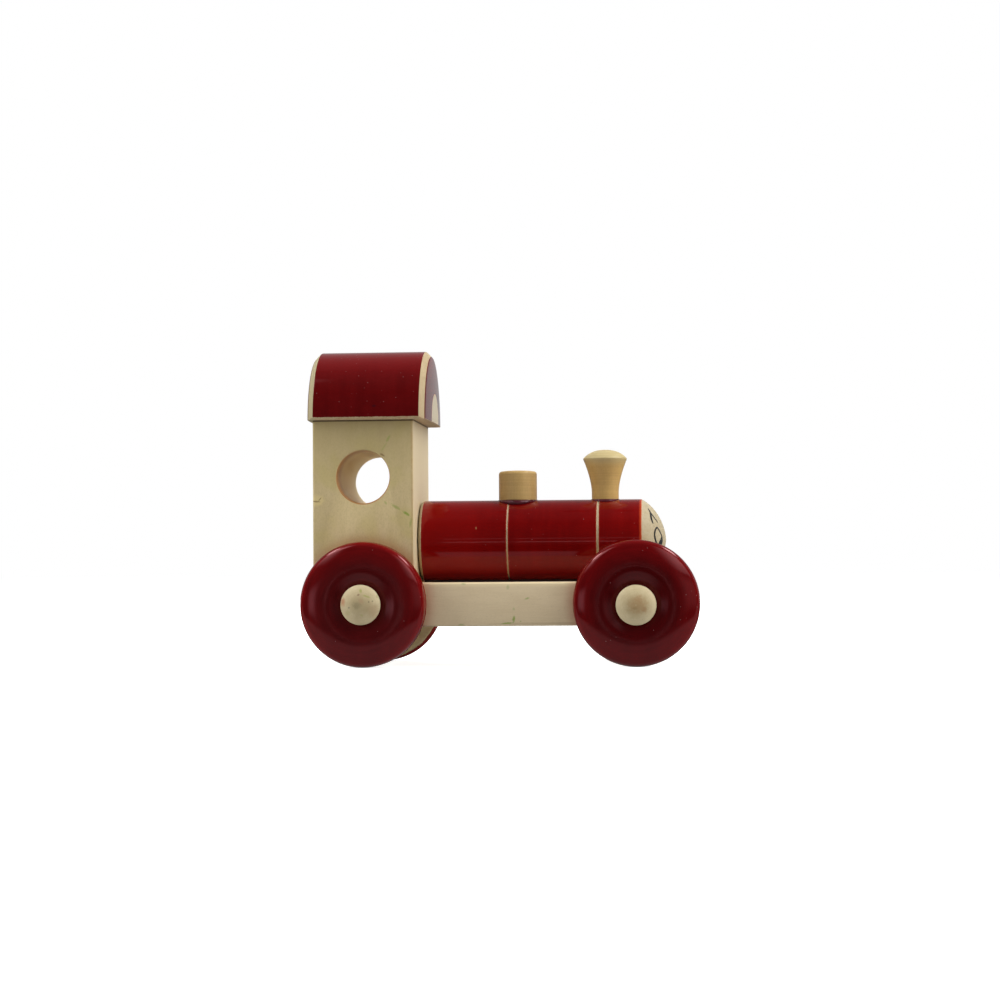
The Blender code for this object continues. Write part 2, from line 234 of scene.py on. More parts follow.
def turned(name, outline, steps, closed=False):
    """The solid that an outline makes when it turns round the mesh's own Z axis."""
    shape = bmesh.new()
    rings = []
    for radius, height in outline:
        around = 1 if radius < 1e-7 else steps
        rings.append([
            shape.verts.new((radius * math.cos(angle), radius * math.sin(angle), height))
            for angle in (2 * math.pi * index / steps for index in range(around))
        ])
    pairs = list(zip(rings, rings[1:])) + ([(rings[-1], rings[0])] if closed else [])
    for upper, lower in pairs:
        for index in range(steps):
            after = (index + 1) % steps
            corners = [upper[index % len(upper)], lower[index % len(lower)],
                       lower[after % len(lower)], upper[after % len(upper)]]
            corners = list(dict.fromkeys(corners))
            if len(corners) > 2:
                shape.faces.new(corners)
    return finished(shape, name)


def block(name, low, high, rounding):
    """A sawn block whose edges are eased."""
    shape = bmesh.new()
    extent = high - low
    bmesh.ops.create_cube(
        shape, size=1.0, matrix=Matrix.Translation((low + high) / 2) @ Matrix.Diagonal((*extent, 1.0))
    )
    bmesh.ops.bevel(shape, geom=shape.edges[:], offset=rounding, segments=4, profile=0.5, affect="EDGES")
    return finished(shape, name)


def placed(name, data, location=(0, 0, 0), rotation=(0, 0, 0)):
    """A new object in the scene."""
    thing = bpy.data.objects.new(name, data)
    bpy.context.scene.collection.objects.link(thing)
    thing.location, thing.rotation_euler = location, rotation
    return thing


def add_piece(name, mesh, material, body=BODY, location=(0, 0, 0), rotation=(0, 0, 0), replaces=()):
    piece = placed(name, mesh, location, rotation)
    mesh.materials.clear()
    mesh.materials.append(material)
    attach(piece, body)
    if replaces:
        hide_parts(*replaces)


def drilled(mesh, name, tool_mesh, location, rotation):
    """The mesh with another solid cut out of it."""
    piece, tool = placed(name, mesh), placed("cutting tool", tool_mesh, location, rotation)
    cut = piece.modifiers.new("cut", "BOOLEAN")
    cut.operation, cut.solver, cut.object = "DIFFERENCE", "EXACT", tool
    bpy.context.view_layer.update()
    result = bpy.data.meshes.new_from_object(piece.evaluated_get(bpy.context.evaluated_depsgraph_get()))
    result.name = name
    for old in (piece, tool):
        bpy.data.objects.remove(old)
    return result


# ---------------------------------------------------------------- material building
class Value:
    """A number that a finish works out at every point of the surface. It takes part in plain arithmetic."""

    def __init__(self, finish, socket):
        self.finish, self.socket = finish, socket

    def __add__(self, other):
        return self.finish.math("ADD", self, other)

    def __sub__(self, other):
        return self.finish.math("SUBTRACT", self, other)

    def __mul__(self, other):
        return self.finish.math("MULTIPLY", self, other)

    def __or__(self, other):
        """The greater of the two."""
        return self.finish.math("MAXIMUM", self, other)

    def __abs__(self):
        return self.finish.math("ABSOLUTE", self)


class Finish:
    """A material's node tree, with short calls for the nodes that the finishes share.

    Every pattern is placed by the piece's own coordinates, in metres.
    """

    def __init__(self, name):
        self.material = bpy.data.materials.new(name)
        self.material.use_nodes = True
        self.tree = self.material.node_tree
        self.surface = self.tree.nodes["Principled BSDF"]
        self.place = self.add("ShaderNodeTexCoord").outputs["Object"]
        self.x, self.y, self.z = self.split(self.place)
        self.from_axis = self.length(self.x, self.y)
        self.colour = None        # the colour so far, which paint() adds to

    def add(self, kind, **settings):
        node = self.tree.nodes.new(kind)
        for key, value in settings.items():
            setattr(node, key, value)
        return node

    def link(self, source, socket):
        source = source.socket if isinstance(source, Value) else source
        if isinstance(source, bpy.types.NodeSocket):
            self.tree.links.new(source, socket)
        else:
            socket.default_value = source

    def feed(self, node, *sources):
        """Links the sources to the node's inputs in their order, and gives the node's first output."""
        for source, socket in zip(sources, node.inputs):
            self.link(source, socket)
        return Value(self, node.outputs[0])

    def math(self, operation, *terms):
        return self.feed(self.add("ShaderNodeMath", operation=operation), *terms)

    def split(self, vector):
        node = self.add("ShaderNodeSeparateXYZ")
        self.link(vector, node.inputs[0])
        return [Value(self, output) for output in node.outputs]

    def combined(self, *parts):
        return self.feed(self.add("ShaderNodeCombineXYZ"), *parts)

    def length(self, across, up):
        return self.math("SQRT", self.math("POWER", across, 2.0) + self.math("POWER", up, 2.0))

    def step(self, value, low, high, start=0.0, end=1.0):
        """A smooth step from start at low to end at high."""
        node = self.add("ShaderNodeMapRange", interpolation_type="SMOOTHSTEP")
        return self.feed(node, value, low, high, start, end)

    def blend(self, share, first, second):
        """A mix of two numbers."""
        return self.feed(self.add("ShaderNodeMapRange"), share, 0.0, 1.0, first, second)

    def mix(self, share, first, second):
        """A mix of two colours."""
        node = self.add("ShaderNodeMix", data_type="RGBA")
        inputs = {socket.identifier: socket for socket in node.inputs}
        for given, key in ((share, "Factor_Float"), (first, "A_Color"), (second, "B_Color")):
            self.link(tint(given) if isinstance(given, tuple) else given, inputs[key])
        return {socket.identifier: socket for socket in node.outputs}["Result_Color"]

    def paint(self, share, over):
        """Lays another colour over the finish's colour so far."""
        self.colour = self.mix(share, self.colour, over)

    def mapped(self, kind="POINT", location=(0, 0, 0), rotation=(0, 0, 0), scale=(1, 1, 1), vector=None):
        node = self.add("ShaderNodeMapping", vector_type=kind)
        return self.feed(node, vector or self.place, location, rotation, scale)

    def noise(self, grain_size, vector=None, detail=2.0, roughness=0.5, distortion=0.0):
        """Cloudy noise between 0 and 1 whose lumps are about grain_size across."""
        node = self.add("ShaderNodeTexNoise")
        for given, key in ((vector or self.place, "Vector"), (1 / grain_size, "Scale"), (detail, "Detail"),
                           (roughness, "Roughness"), (distortion, "Distortion")):
            self.link(given, node.inputs[key])
        return Value(self, node.outputs[0])

    def speckle(self, spacing, radius, share, seed):
        """1 on small round specks, spread about one spacing apart; share is how many places have one."""
        node = self.add("ShaderNodeTexVoronoi", feature="F1")
        self.link(self.mapped(location=(seed, seed, seed)), node.inputs["Vector"])
        node.inputs["Scale"].default_value = 1 / spacing
        near = self.step(node.outputs["Distance"], radius / spacing, 0.5 * radius / spacing)
        return near * self.math("LESS_THAN", self.split(node.outputs["Color"])[0], share)

    def spot(self, centre, reach, turn=(0, 0, 0), softness=0.6, ragged=0.0, ragged_size=1.0 * MM):
        """1 in the middle of an ellipsoid, fading to 0 at its surface."""
        length = self.add("ShaderNodeVectorMath", operation="LENGTH")
        self.link(self.mapped("TEXTURE", centre, turn, reach), length.inputs[0])
        distance = Value(self, length.outputs["Value"])
        if ragged:
            distance += self.noise(ragged_size, detail=3.0) * ragged + -0.5 * ragged
        return self.step(distance, 1.0, 1.0 - softness)

    def bump(self, height, depth, strength=1.0, under=None):
        node = self.add("ShaderNodeBump")
        node.inputs["Strength"].default_value = strength
        node.inputs["Distance"].default_value = depth
        self.link(height, node.inputs["Height"])
        if under:
            self.link(under, node.inputs["Normal"])
        return node.outputs[0]

    def finish(self, colour, roughness, normal=None, mirror=(1.0, 1.0, 1.0), shine=0.5):
        self.link(colour, self.surface.inputs["Base Color"])
        self.surface.inputs["Specular Tint"].default_value = tint(mirror)
        self.link(roughness, self.surface.inputs["Roughness"])
        self.link(shine, self.surface.inputs["Specular IOR Level"])
        self.surface.inputs["IOR"].default_value = 1.5
        if normal:
            self.link(normal, self.surface.inputs["Normal"])
        return self.material


def tint(colour):
    return (*colour[:3], 1.0)


def darker(colour, share):
    return tuple(share * c for c in colour)


def wood(finish, light, dark, grain, seed=0.0, contrast=1.0, streak=0.3):
    """Bare wood: clouds, mottling, faint fibres along the grain, short dark pores. Gives colour and relief."""
    def grained(size, stretch, *settings):
        """Noise drawn out along the grain."""
        scale = [1 / stretch if axis == grain else 1.0 for axis in "XYZ"]
        location = (0.13 * seed, 0.29 * seed, 0.41 * seed)
        return finish.noise(size, finish.mapped(location=location, scale=scale), *settings)

    clouds = grained(6 * MM, 3.0, 3.0, 0.5, 0.3)
    fibres = grained(0.5 * MM, 14.0)
    mottle = grained(0.55 * MM, 1.6, 3.0, 0.6)
    tone = mottle * 0.3 + (clouds * (0.7 - streak) + fibres * streak)
    spread = 0.17 / contrast
    colour = finish.mix(finish.step(tone, 0.5 - spread, 0.5 + spread), dark, light)
    pores = finish.step(grained(0.32 * MM, 3.0, 1.0), 0.66, 0.78, 0.0, 0.28 * contrast)
    return finish.mix(pores, colour, darker(dark, 0.45)), fibres - pores


def lacquer(finish, deep, bright, across, band=4.0 * MM, seed=0.0, dust_share=0.2):
    """Red lacquer on turned wood: faint bands across the turning, faint clouds, pale dust specks."""
    shift = (0.2 * seed, 0.3 * seed, 0.37 * seed)
    banded = finish.mapped(location=shift, vector=finish.combined(finish.x * 0.1, finish.y * 0.1, across))
    bands = finish.noise(band, banded, 3.0, 0.6)
    clouds = finish.noise(6 * MM, finish.mapped(location=shift))
    colour = finish.mix(finish.step(bands * 0.6 + clouds * 0.4, 0.32, 0.68), deep, bright)
    dust = finish.speckle(2.1 * MM, 0.2 * MM, dust_share, seed)
    return finish.mix(dust * 0.45, colour, DUST)


def paint_red_wheel_light(finish, share):
    """Painted reflected light: the sides of the wood beside a wheel's tread, tinted red as by the light the red
    lacquer throws onto them.
    """
    on_side = finish.step(abs(finish.y), PLANK_HIGH.y - 1.2 * MM, PLANK_HIGH.y - 0.4 * MM) * share
    for node in ("wheel_rear_right", "wheel_front_right"):
        centre = middle(node)
        distance = finish.length(finish.x - centre.x, finish.z - centre.z)
        near = finish.step(distance, WHEEL_RADIUS + 5 * MM, WHEEL_RADIUS - 1 * MM)
        finish.paint(near * on_side, (0.36, 0.075, 0.035))


def smudge(finish, near, smudges):
    """Rubbed-off green on the near side, which is at near. In mm, each smudge is (x, z, reach along X, reach
    along Z, turn about Y, share)."""
    for x, z, along_x, along_z, turn, share in smudges:
        reach = (along_x * MM, 1 * MM, along_z * MM)
        spot = finish.spot((x * MM, near, z * MM), reach, (0, turn, 0), 0.7, 1.0, 0.7 * MM)
        finish.paint(spot * share, SMUDGE_GREEN)


# ---------------------------------------------------------------- colours
ROOF_RED = ((0.084, 0.0018, 0.0022), (0.104, 0.0024, 0.0028))
# painted light: the roof's top is lighter red
ROOF_TOP_PAINTED_LIGHT_RED = (0.210, 0.0050, 0.0060)
BARREL_RED = ((0.128, 0.0014, 0.0016), (0.172, 0.0022, 0.0020))
LIGHTER_BARREL_RED = (0.215, 0.0034, 0.0028)        # lighter red towards the barrel's rear end and, fainter, from its front ring forwards
PAINTED_LOW_LIGHT_RED = (0.26, 0.010, 0.008)            # painted light: lighter red low on the barrel
# painted light: lighter red still on the barrel's underside
PAINTED_UNDERSIDE_LIGHT_RED = (0.60, 0.040, 0.030)
WHEEL_DISH_RED = (0.066, 0.0012, 0.0018)  # darker round the hub
WHEEL_FACE_RED = (0.114, 0.0019, 0.0026)
# painted sheen: the lacquer towards the rim is lighter red
WHEEL_RIM_PAINTED_SHEEN_RED = (0.190, 0.0030, 0.0036)
WHEEL_INNER_RED = (0.30, 0.030, 0.028)    # along the lacquer's edge at the inner face
BEAD_RED = ((0.070, 0.010, 0.016), (0.110, 0.020, 0.032))
GLUE_RED = ((0.030, 0.0012, 0.0015), (0.045, 0.0016, 0.0018))
FRINGE = (0.50, 0.060, 0.018)
DUST = (0.42, 0.26, 0.25)
LACQUER_MIRROR = (1.0, 0.40, 0.42)        # light that the lacquer throws back is warmed by it
CAB_LIGHT, CAB_DARK = (0.65, 0.520, 0.280), (0.55, 0.430, 0.218)
CAB_OLIVE, CAB_SHADE = (0.55, 0.450, 0.180), (0.36, 0.280, 0.120)
# painted light: the cab's front face is lighter and creamier
CAB_FRONT_PAINTED_LIGHT = (0.67, 0.560, 0.385)
WINDOW_WOOD, WINDOW_BURNT = (0.90, 0.735, 0.450), (0.40, 0.185, 0.055)
ROOF_BARE_LIGHT, ROOF_BARE_DARK = (0.52, 0.415, 0.250), (0.42, 0.320, 0.180)
ROOF_PATCH, ROOF_REAR = (0.52, 0.460, 0.335), (0.43, 0.390, 0.235)
PLANK_LIGHT, PLANK_DARK = (0.72, 0.590, 0.385), (0.63, 0.500, 0.310)
DOME_LIGHT, DOME_DARK = (0.53, 0.350, 0.132), (0.44, 0.275, 0.092)
FUNNEL_LIGHT, FUNNEL_DARK = (0.60, 0.390, 0.130), (0.51, 0.315, 0.094)
FUNNEL_TOP_LIGHT, FUNNEL_TOP_DARK = (0.54, 0.445, 0.225), (0.48, 0.380, 0.175)
PEG_LIGHT, PEG_DARK = (0.66, 0.560, 0.345), (0.56, 0.455, 0.260)
PEG_STAIN, PEG_GREEN = (0.36, 0.270, 0.135), (0.30, 0.330, 0.060)
# painted light: the wheels' bare inner faces are paler than their wood, for light that hardly reaches them under
# the plank
INNER_FACE_PAINTED_LIGHT_PALE, INNER_FACE_PAINTED_LIGHT_DEEP = (0.86, 0.700, 0.420), (0.74, 0.580, 0.330)
NOSE_LIGHT, NOSE_DARK = (0.50, 0.430, 0.290), (0.43, 0.350, 0.215)
SMUDGE_GREEN = (0.20, 0.30, 0.03)
INK, WORN_INK = (0.012, 0.011, 0.012), (0.09, 0.07, 0.05)
BLACK = (0.0, 0.0, 0.0)


# ---------------------------------------------------------------- finishes of the pieces
def lacquered(finish, bare, fringe, red, bare_relief, gloss=0.07, shine=0.5):
    """Lacquer over the finish's colour, except where bare is 1; fringe is 1 along the lacquer's reddish edge."""
    colour = finish.mix(fringe, finish.mix(bare, red, finish.colour), FRINGE)
    orange_peel = finish.bump(finish.noise(9 * MM, detail=1.0), 0.05 * MM, 0.25)
    normal = finish.bump(bare * bare_relief, 0.05 * MM, 0.6, orange_peel)
    roughness, shine = finish.blend(bare, gloss, 0.45), finish.blend(bare, shine, 0.2)
    return finish.finish(colour, roughness, normal, LACQUER_MIRROR, shine)


def barrel_finish():
    """The piece's own Z runs forwards along the barrel, and its own X points down."""
    finish = Finish("boiler_lacquer_finish")
    along = finish.z + (finish.noise(0.7 * MM) * (0.3 * MM) + -0.15 * MM)
    nose = finish.step(along, BARREL_SHOULDER - 0.05 * MM, BARREL_SHOULDER + 0.15 * MM)
    bare = nose | finish.step(along, BARREL_REAR + 1.2 * MM, BARREL_REAR + 1.0 * MM)
    fringe = (finish.step(along, BARREL_SHOULDER - 1.1 * MM, BARREL_SHOULDER - 0.1 * MM)
              * finish.step(along, BARREL_SHOULDER + 0.35 * MM, BARREL_SHOULDER))
    for place, width in RINGS:
        off = abs(along - place)
        bare |= finish.step(off, width / 2 + 0.05 * MM, width / 2 - 0.1 * MM)
        beside = (finish.step(off, width / 2 - 0.15 * MM, width / 2)
                  * finish.step(off, width / 2 + 0.45 * MM, width / 2 + 0.1 * MM))
        fringe |= beside * 0.35
    red = lacquer(finish, *BARREL_RED, finish.z, seed=1.0, dust_share=0.3)
    chip = finish.spot((-5.0 * MM, -15.7 * MM, -10.4 * MM), (0.75 * MM, 1 * MM, 0.45 * MM), ragged=0.5)
    red = finish.mix(chip, red, (0.34, 0.20, 0.09))
    # Lighter red towards the rear end and, fainter, from the front ring forwards.
    thin = finish.step(finish.z, 2 * MM, -22 * MM) | finish.step(finish.z, 34 * MM, 46 * MM) * 0.35
    red = finish.mix(thin * 0.85, red, LIGHTER_BARREL_RED)
    # Painted light: the lower part of the barrel and its underside are made lighter red.
    low = finish.step(finish.x, 5 * MM, 17 * MM) * finish.step(finish.z, -12 * MM, 20 * MM, 1.0, 0.45)
    red = finish.mix(low, red, PAINTED_LOW_LIGHT_RED)
    red = finish.mix(finish.step(finish.x, 13.5 * MM, 16.3 * MM), red, PAINTED_UNDERSIDE_LIGHT_RED)
    finish.colour, relief = wood(finish, NOSE_LIGHT, NOSE_DARK, "Z", seed=2.0)
    low_on_nose = (finish.step(finish.x, -4 * MM, 9 * MM)
                   * finish.step(finish.z, BARREL_SHOULDER + 5 * MM, BARREL_SHOULDER))
    finish.paint(low_on_nose * 0.35, (0.55, 0.33, 0.13))
    return lacquered(finish, bare, fringe * 0.85, red, relief)


def roof_finish(half_length, end_radius):
    """The piece's own Z runs along the roof, and its own X points down."""
    finish = Finish("roof_lacquer_finish")
    rough_edge = finish.noise(0.6 * MM, detail=3.0) * (0.5 * MM) + -0.25 * MM
    out = finish.from_axis + rough_edge
    up = finish.x * -1.0
    height = up + rough_edge
    end = abs(finish.z)
    chamfer = (finish.step(finish.from_axis, end_radius + 0.25 * MM, end_radius + 0.4 * MM)
               * finish.step(end, half_length - ROOF_CHAMFER - 0.15 * MM, half_length - ROOF_CHAMFER))
    patch = (finish.step(end, half_length - 0.3 * MM, half_length)
             * finish.step(out, ROOF_BARE_PATCH + 0.1 * MM, ROOF_BARE_PATCH - 0.1 * MM))
    foot = (finish.step(height, ROOF_FOOT + 0.1 * MM, ROOF_FOOT - 0.1 * MM)
            * finish.step(finish.from_axis, ROOF_RADIUS - 1.5 * MM, ROOF_RADIUS - 1.1 * MM))
    bare = (chamfer | patch) | (foot | finish.step(up, 0.1 * MM, 0.02 * MM))
    red = lacquer(finish, *ROOF_RED, finish.z, seed=3.0, dust_share=0.6)
    # Painted light: the lacquer is made lighter red towards the roof's top.
    red = finish.mix(finish.step(up, 14 * MM, 29 * MM) * 0.6, red, ROOF_TOP_PAINTED_LIGHT_RED)
    fleck = finish.spot((-5.3 * MM, -28.9 * MM, 3.4 * MM), (0.7 * MM, 2 * MM, 1.0 * MM), ragged=0.7)
    red = finish.mix(fleck * 0.6, red, (0.03, 0.004, 0.008))
    finish.colour, relief = wood(finish, ROOF_BARE_LIGHT, ROOF_BARE_DARK, "X", seed=4.0)
    finish.paint(patch, ROOF_PATCH)
    rear = finish.step(finish.z, 4 * MM - half_length, 2 * MM - half_length)
    finish.paint(rear * 0.7, ROOF_REAR)
    scraped = finish.step(finish.noise(0.5 * MM, finish.mapped(scale=(1.0, 1.0, 0.35))), 0.55, 0.7)
    scraped *= finish.step(height, 1.6 * MM, 0.9 * MM)
    finish.paint(scraped * 0.35, (0.40, 0.08, 0.05))
    edge = finish.step(out, ROOF_BARE_PATCH - 0.4 * MM, ROOF_BARE_PATCH - 0.15 * MM) * patch
    return lacquered(finish, bare, edge * 0.5, red, relief)


def wheel_finish(end, dish_share, face_share, rim_share, dust_share, painted_reflection_grey=0.0):
    """The inner face is bare; the lacquer ends in a ragged line on the tread's inner edge."""
    finish = Finish(f"wheel_lacquer_finish_{end}")
    # Painted reflection: a little grey is added to the dish and face; only the rear wheels have it.
    dish = tuple(dish_share * c + painted_reflection_grey for c in WHEEL_DISH_RED)
    face = tuple(face_share * c + 0.5 * painted_reflection_grey for c in WHEEL_FACE_RED)
    height = finish.noise(2.0 * MM, detail=3.0) * (0.8 * MM) + (finish.z - 0.4 * MM)
    depth = finish.noise(5 * MM) * (3 * MM) + finish.from_axis
    # Painted sheen: the lacquer turns lighter red towards the rim.
    rim = darker(WHEEL_RIM_PAINTED_SHEEN_RED, rim_share)
    outer = finish.mix(finish.step(finish.from_axis, 22.4 * MM, 24.6 * MM), face, rim)
    bright = finish.mix(finish.step(depth, 16.0 * MM, 23.0 * MM), dish, outer)
    red = lacquer(finish, finish.mix(0.22, bright, BLACK), bright, finish.from_axis, 1.6 * MM, 5.0, dust_share)
    red = finish.mix(finish.step(finish.z, 2.2 * MM, 1.0 * MM), red, WHEEL_INNER_RED)
    # Painted light: the bare inner face is made paler than its wood.
    finish.colour, relief = wood(finish, INNER_FACE_PAINTED_LIGHT_PALE, INNER_FACE_PAINTED_LIGHT_DEEP, "X", seed=6.0)
    gloss = finish.step(finish.from_axis, 17 * MM, 23 * MM, 0.20, 0.09)
    shine = finish.step(finish.z, 4.0 * MM, 6.6 * MM, 0.0, 0.5)
    return lacquered(finish, finish.step(height, 0.5 * MM, 0.2 * MM), 0.0, red, relief, gloss, shine)


def cab_finish():
    finish = Finish("cab_wood_finish")
    near = CAB_LOW.y
    finish.colour, relief = wood(finish, CAB_LIGHT, CAB_DARK, "Z", seed=7.0, contrast=0.75, streak=0.16)
    olive = finish.noise(13 * MM, finish.mapped(location=(0.03, 0.0, 0.02)))
    finish.paint(finish.step(olive, 0.42, 0.66, 0.0, 0.6), CAB_OLIVE)
    fine = finish.noise(0.5 * MM, finish.mapped(scale=(1.0, 1.0, 0.6)), 3.0, 0.6)
    finish.paint(finish.step(fine, 0.45, 0.65, 0.0, 0.22), darker(CAB_DARK, 0.7))
    # Painted light: the front face, which the key light falls on, is made lighter and creamier.
    front = finish.step(finish.x, CAB_HIGH.x - 0.6 * MM, CAB_HIGH.x)
    finish.paint(front * 0.7, CAB_FRONT_PAINTED_LIGHT)
    # Painted shade: the cab grows darker towards the roof, less so on its front face.
    painted_roof_shade = finish.step(finish.z, 66 * MM, 100 * MM) * finish.blend(front, 0.6, 0.1)
    finish.paint(painted_roof_shade, CAB_SHADE)
    arris = (finish.step(finish.x, CAB_HIGH.x - 1.3 * MM, CAB_HIGH.x - 0.7 * MM)
             * finish.step(finish.x, CAB_HIGH.x - 0.1 * MM, CAB_HIGH.x - 0.5 * MM))
    arris *= finish.noise(2 * MM, detail=3.0)
    finish.paint(arris * 0.8, (0.42, 0.24, 0.10))
    bore = finish.length(finish.x - CAB_CENTRE, finish.z - WINDOW_HEIGHT)
    inside = finish.step(bore, WINDOW_RADIUS + 0.5 * MM, WINDOW_RADIUS + 0.1 * MM)
    finish.paint(inside * 0.85, WINDOW_WOOD)
    finish.paint(inside * finish.step(finish.y, -11 * MM, -25 * MM), WINDOW_BURNT)
    halo = finish.spot((CAB_LOW.x + 1.5 * MM, near, 66.6 * MM), (4.2 * MM, 3 * MM, 3.0 * MM), ragged=0.6)
    finish.paint(halo * 0.6, (0.74, 0.60, 0.27))
    for centre, reach, turn, share in (
        ((CAB_LOW.x + 1.3 * MM, near, 66.3 * MM), (2.4 * MM, 3 * MM, 0.42 * MM), 0.08, 0.7),
        ((CAB_LOW.x + 2.9 * MM, near, 67.2 * MM), (1.2 * MM, 3 * MM, 0.30 * MM), -0.9, 0.7),
        ((-47.0 * MM, near, 84.8 * MM), (1.4 * MM, 3 * MM, 0.55 * MM), 0.5, 0.8),
    ):
        crack = finish.spot(centre, reach, (0, turn, 0), ragged=0.5)
        finish.paint(crack * share, (0.22, 0.13, 0.05))
    smudge(finish, near, (
        (-41.5, 63.8, 3.2, 0.75, 0.53, 0.5), (-37.4, 61.2, 2.2, 0.75, 0.6, 0.8),
        (-35.6, 57.6, 0.7, 2.6, 0.2, 0.4), (-45.8, 65.6, 1.3, 0.6, 1.0, 0.4),
        (-44.6, 91.2, 0.7, 2.2, 0.5, 0.45), (-46.2, 88.0, 0.5, 3.0, 0.6, 0.25),
    ))
    # painted red light beside the wheels
    paint_red_wheel_light(finish, 0.3)
    # Painted shadow: a thin dark line along the top of the cab, under the roof.
    painted_shadow_under_roof = finish.step(finish.z, CAB_HIGH.z - 0.5 * MM, CAB_HIGH.z - 0.1 * MM, 0.0, 0.85)
    finish.paint(painted_shadow_under_roof, (0.06, 0.04, 0.02))
    return finish.finish(finish.colour, 0.5, finish.bump(relief, 0.05 * MM, 0.35))


def plank_finish():
    finish = Finish("plank_wood_finish")
    finish.colour, relief = wood(finish, PLANK_LIGHT, PLANK_DARK, "X", seed=8.0, contrast=0.7, streak=0.25)
    # Painted light: the plank's top and the top edge of its sides are paler.
    pale = finish.step(finish.z, PLANK_HIGH.z - 2.2 * MM, PLANK_HIGH.z - 1.2 * MM, 0.0, 0.5)
    finish.paint(pale, (0.84, 0.70, 0.44))
    sawn = (finish.step(abs(finish.z - (PLANK_LOW.z + 1.15 * MM)), 0.3 * MM, 0.1 * MM)
            * finish.step(finish.x, -6 * MM, 12 * MM))
    finish.paint(sawn * 0.4, (0.30, 0.21, 0.11))
    smudge(finish, PLANK_LOW.y, (
        (5.4, 18.9, 0.7, 1.8, 0.15, 0.85), (2.8, 17.2, 3.2, 0.45, -0.08, 0.75),
        (10.7, 27.0, 1.5, 0.45, -0.3, 0.6), (5.4, 22.9, 0.7, 1.0, 0.0, 0.3),
        (3.1, 31.5, 0.9, 1.2, 0.2, 0.35), (-14.7, 33.0, 1.3, 0.7, 0.0, 0.35),
        (-15.5, 16.7, 1.6, 0.5, 0.0, 0.5), (8.1, 17.9, 0.5, 0.4, 0.0, 0.5),
    ))
    # painted red light beside the wheels
    paint_red_wheel_light(finish, 0.4)
    # Painted shade: dark red on the plank's top, under the barrel.
    painted_shade_under_barrel = (finish.step(abs(finish.y), 15 * MM, 8 * MM)
                    * finish.step(finish.z, PLANK_HIGH.z - 0.3 * MM, PLANK_HIGH.z))
    painted_shade_under_barrel *= finish.step(finish.x, BARREL_REAR - 1 * MM, BARREL_REAR)
    finish.paint(painted_shade_under_barrel * 0.85, (0.16, 0.022, 0.015))
    return finish.finish(finish.colour, 0.5, finish.bump(relief, 0.05 * MM, 0.3))


def turned_wood_finish(name, light, dark, seed, top=None):
    """Wood turned on an upright axis. top is (height, light, dark) of a paler end above that height."""
    finish = Finish(name)
    finish.colour, relief = wood(finish, light, dark, "Z", seed=seed, contrast=0.8)
    if top:
        height, top_light, top_dark = top
        end_colour, _ = wood(finish, top_light, top_dark, "X", seed=seed + 0.5, contrast=0.7)
        finish.paint(finish.step(finish.z, height - 4.0 * MM, height + 1.2 * MM), end_colour)
    turning = finish.noise(0.5 * MM, finish.mapped(scale=(0.02, 0.02, 1.0)))
    finish.paint(finish.step(turning, 0.4, 0.62, 0.0, 0.18), darker(dark, 0.7))
    return finish.finish(finish.colour, 0.42, finish.bump(turning * 0.5 + relief, 0.05 * MM, 0.4))


def peg_finish(name, seed, marks=()):
    """End grain, darker towards the middle, with faint turning rings. In mm, marks are (x, y, reach, turn,
    colour, share)."""
    finish = Finish(name)
    finish.colour, relief = wood(finish, PEG_LIGHT, PEG_DARK, "Z", seed=seed, contrast=0.8, streak=0.1)
    cloudy = finish.noise(2.5 * MM, detail=3.0) * (4 * MM) + finish.from_axis
    finish.paint(finish.step(cloudy, 10.0 * MM, 3.5 * MM, 0.0, 0.6), PEG_STAIN)
    turning = finish.noise(0.45 * MM, finish.combined(finish.from_axis), 2.0, 0.6)
    finish.paint(finish.step(turning, 0.45, 0.62, 0.0, 0.16), darker(PEG_DARK, 0.7))
    specks = finish.speckle(0.9 * MM, 0.14 * MM, 0.25, seed)
    finish.paint(specks * 0.4, (0.16, 0.10, 0.05))
    for x, y, reach, turn, mark, share in marks:
        reach = (reach[0] * MM, reach[1] * MM, 8 * MM)
        spot = finish.spot((x * MM, y * MM, 2 * MM), reach, (0, 0, turn), 0.8, 0.8, 0.8 * MM)
        finish.paint(spot * share, mark)
    return finish.finish(finish.colour, 0.4, finish.bump(turning * 0.5 + relief, 0.05 * MM, 0.35))


def dowel_finish():
    finish = Finish("dowel_wood_finish")
    finish.colour, relief = wood(finish, PEG_LIGHT, PEG_DARK, "Z", seed=16.0)
    return finish.finish(finish.colour, 0.55, finish.bump(relief, 0.05 * MM, 0.5))


def ink_finish():
    finish = Finish("ink_finish")
    wear = finish.noise(0.4 * MM, detail=3.0)
    return finish.finish(finish.mix(finish.step(wear, 0.55, 0.8, 0.0, 0.5), INK, WORN_INK), 0.35)


# ---------------------------------------------------------------- pieces
ALONG_X = (0.0, math.pi / 2, 0.0)


def nose_flattening(radius):
    return NOSE_FLATTENING * math.sin(math.pi * min(1.0, radius / BARREL_RADIUS))


